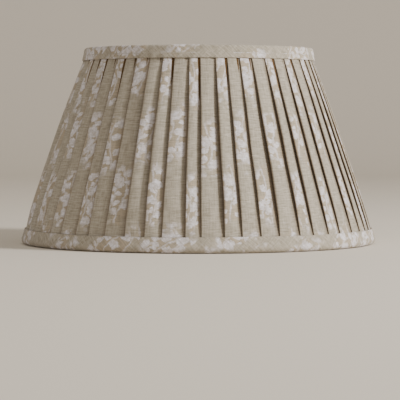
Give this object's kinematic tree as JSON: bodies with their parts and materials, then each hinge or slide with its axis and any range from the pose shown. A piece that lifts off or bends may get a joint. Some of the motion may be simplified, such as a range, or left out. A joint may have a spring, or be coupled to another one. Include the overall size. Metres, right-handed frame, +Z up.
{
  "type": "lamp shade",
  "caption": "Knife-pleated empire lamp shade in printed linen on a wire frame, with a tilting ring fitter that clamps to a lampholder.",
  "frame": {"origin": "centre of the plane that the bottom trim stands on", "axes": "+Z up along the shade's axis, X along the gimbal's pivot axis"},
  "size_m": [0.3496, 0.3496, 0.1915],
  "materials": {
    "printed_linen": "natural linen with a white block print, knife-pleated",
    "trim_linen": "the same linen cut on the bias",
    "lining_cotton": "plain cream cotton",
    "binding_tape": "woven cotton tape",
    "frame_wire": "white epoxy-coated steel wire",
    "fitter_steel": "bright zinc-plated steel",
    "reducer_plastic": "moulded white plastic"
  },
  "bodies": {
    "shade": {"top_ring": "frame_wire", "bottom_ring": "frame_wire", "strut_1": "frame_wire", "strut_2": "frame_wire", "strut_3": "frame_wire", "strut_4": "frame_wire", "strut_5": "frame_wire", "strut_6": "frame_wire", "top_ring_tape": "binding_tape", "bottom_ring_tape": "binding_tape", "lining": "lining_cotton", "cover_strip_1": "printed_linen", "cover_strip_2": "printed_linen", "cover_strip_3": "printed_linen", "top_trim": "trim_linen", "bottom_trim": "trim_linen", "fitter_arm_left": "fitter_steel", "fitter_arm_right": "fitter_steel", "pivot_rivet_left": "fitter_steel", "pivot_rivet_right": "fitter_steel"},
    "gimbal": {"gimbal_leg_left": "fitter_steel", "gimbal_leg_right": "fitter_steel", "fitter_ring": "fitter_steel", "reducer_ring": "reducer_plastic"}
  },
  "joints": [
    {"name": "gimbal_tilt", "type": "hinge", "parent": "shade", "child": "gimbal", "pos_m": [0, 0, 0.165], "axis": [1, 0, 0], "continuous": true}
  ]
}
